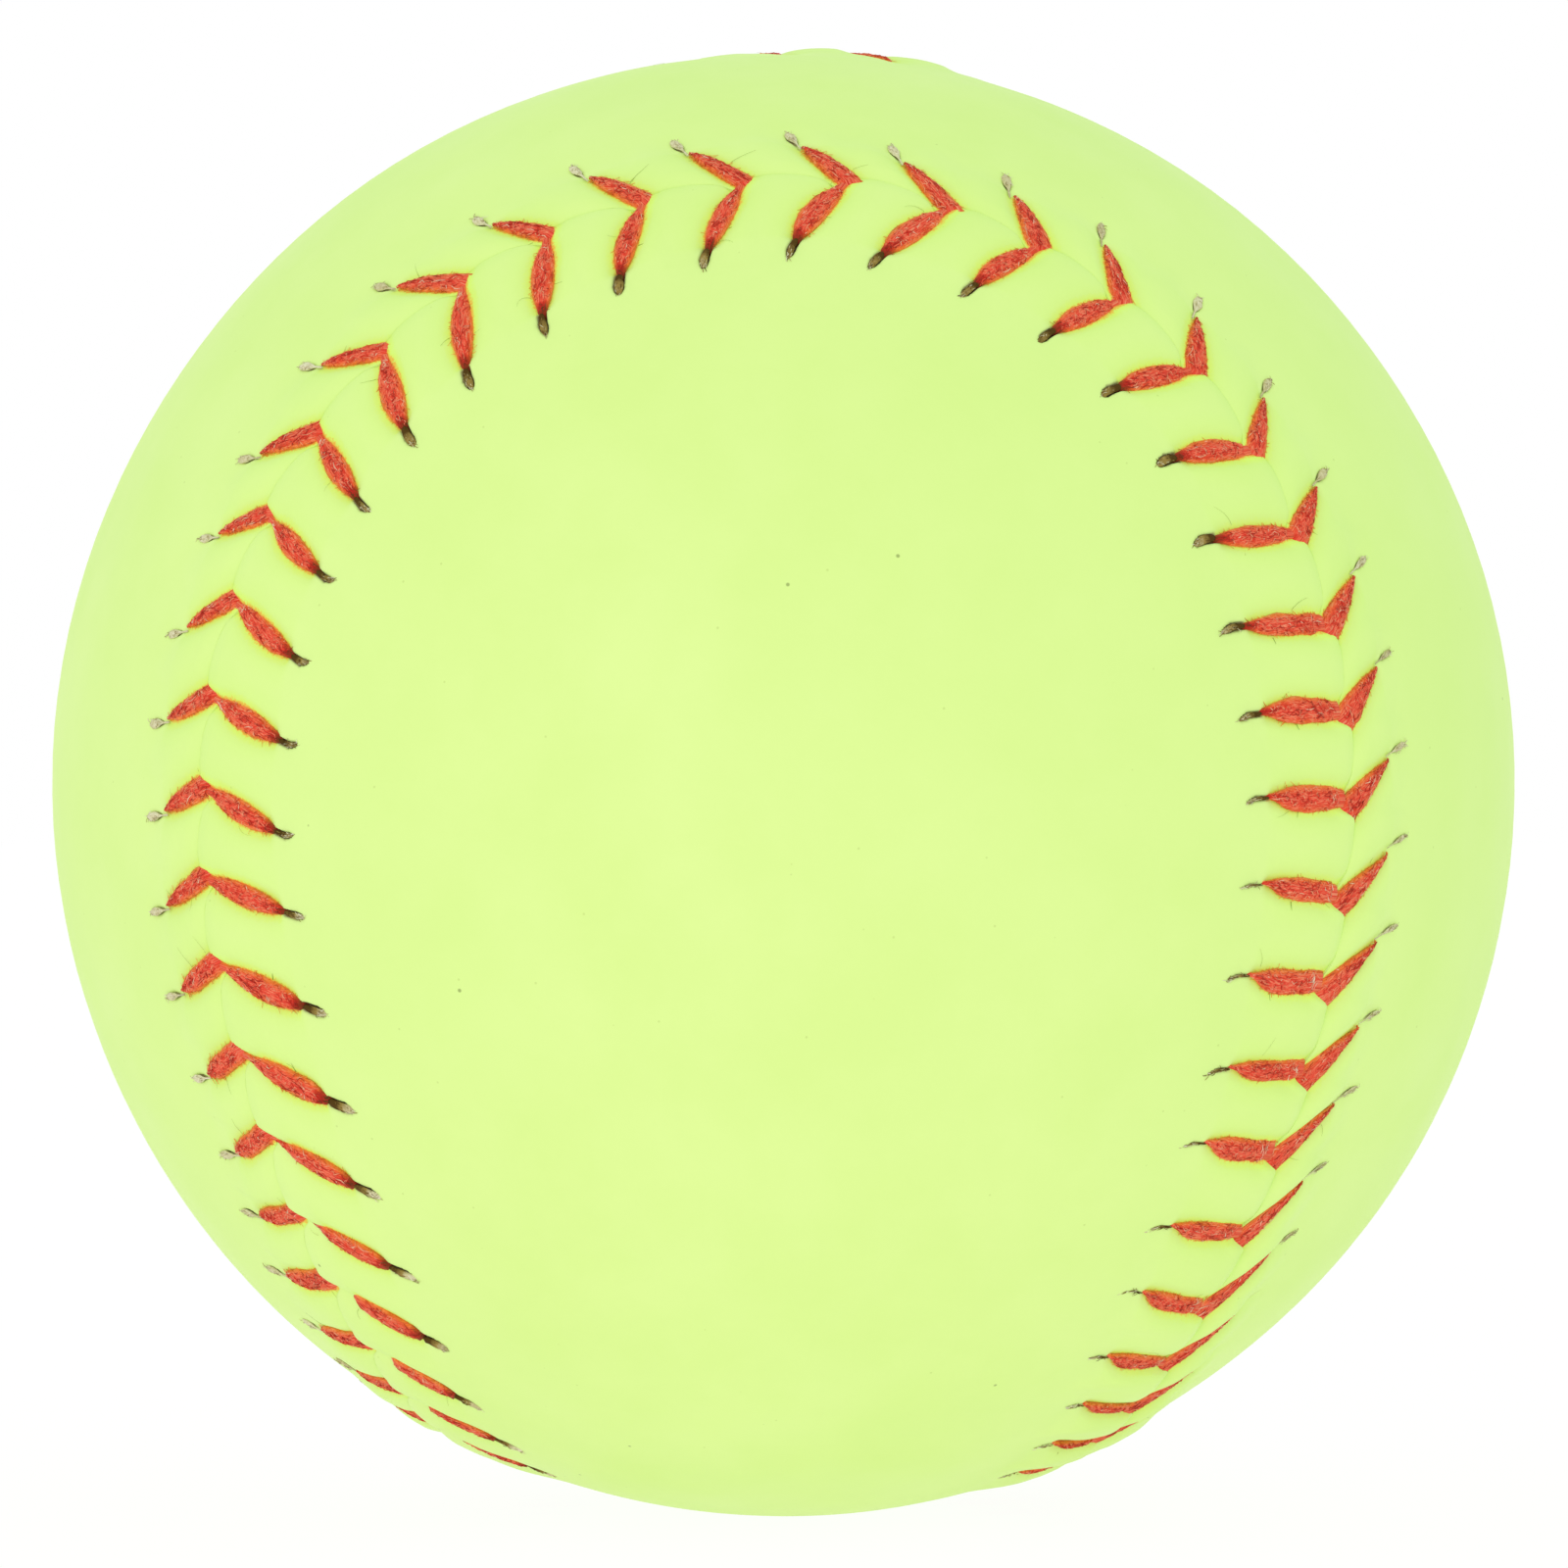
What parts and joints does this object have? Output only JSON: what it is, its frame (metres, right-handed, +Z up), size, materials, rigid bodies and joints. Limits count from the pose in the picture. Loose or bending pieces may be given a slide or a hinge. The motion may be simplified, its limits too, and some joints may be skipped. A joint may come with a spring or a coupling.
{
  "type": "softball",
  "caption": "Optic yellow softball with red V stitching: wound cork core, cement coat, padded backings and two figure-eight cover panels sewn along one curved seam.",
  "frame": {"origin": "centre of the ball", "axes": "+Z up, with the ball resting on its lowest point; -Y faces the viewer of the picture, who sees the inner panel inside the arch of the seam; +X to that viewer's right"},
  "size_m": [0.097, 0.097, 0.0983],
  "materials": {
    "core": "pressed cork and rubber, matte",
    "yarn": "tightly wound twisted yarn",
    "cement": "dried latex cement, dull",
    "backing": "non-woven felt",
    "leather": "smooth synthetic leather, optic yellow, soft matte",
    "thread": "waxed plied thread, orange red, slightly fuzzy"
  },
  "bodies": {
    "root": {"core": "core", "yarn_winding": "yarn", "cement_coat": "cement", "backing_a": "backing", "backing_b": "backing", "cover_a": "leather", "cover_b": "leather", "thread_a": "thread", "thread_b": "thread"}
  },
  "joints": []
}
